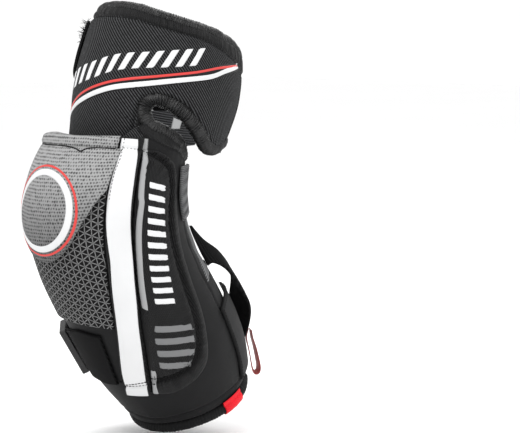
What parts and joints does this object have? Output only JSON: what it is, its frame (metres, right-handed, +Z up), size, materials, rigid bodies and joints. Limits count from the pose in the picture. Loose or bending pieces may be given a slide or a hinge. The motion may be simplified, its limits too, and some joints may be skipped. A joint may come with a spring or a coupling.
{
  "type": "elbow pad",
  "caption": "Bent padded sleeve for the elbow: biceps guard, domed elbow cap, striped slash guard and straps, open at both ends for the arm.",
  "frame": {"origin": "middle of the elbow, on the centre line of the arm channel", "axes": "+Z up the worn pad towards the shoulder, -X out of the elbow's point, -Y towards the outer side of the arm"},
  "size_m": [0.2001, 0.1315, 0.3287],
  "materials": {
    "charcoal_twill": "fine ribbed charcoal twill over foam",
    "black_satin": "black textile over foam",
    "black_elastic": "black elastic webbing",
    "grey_knit": "grey air-mesh knit, rolled",
    "grey_black_mesh": "black cloth with a light grey lattice of triangles",
    "white_synthetic": "smooth white synthetic leather",
    "black_knit": "matte black knit",
    "red_label": "plain red woven label",
    "dark_grey_rib": "dark grey ribbed elastic",
    "grey_lining": "grey stretch lining",
    "dark_red_ribbon": "dark red satin ribbon",
    "black_plastic": "black moulded plastic"
  },
  "bodies": {
    "root": {"bicep_guard": "charcoal_twill", "bicep_top_binding": "black_satin", "notch_binding": "black_satin", "bicep_strap": "black_elastic", "elbow_cap": "grey_knit", "cap_collar": "grey_knit", "side_mesh_panel": "grey_black_mesh", "slash_guard": "black_satin", "slash_stripe": "white_synthetic", "forearm_cuff": "black_knit", "hem_binding": "black_knit", "hem_label": "red_label", "crease_binding": "dark_grey_rib", "elbow_liner": "grey_lining", "crease_edge_band": "dark_grey_rib", "crease_lining": "grey_lining", "forearm_strap": "black_elastic", "lower_strap": "black_elastic", "wrap_flap": "black_knit", "strap_pull_loop": "dark_red_ribbon", "lower_strap_loop": "black_plastic"}
  },
  "joints": []
}
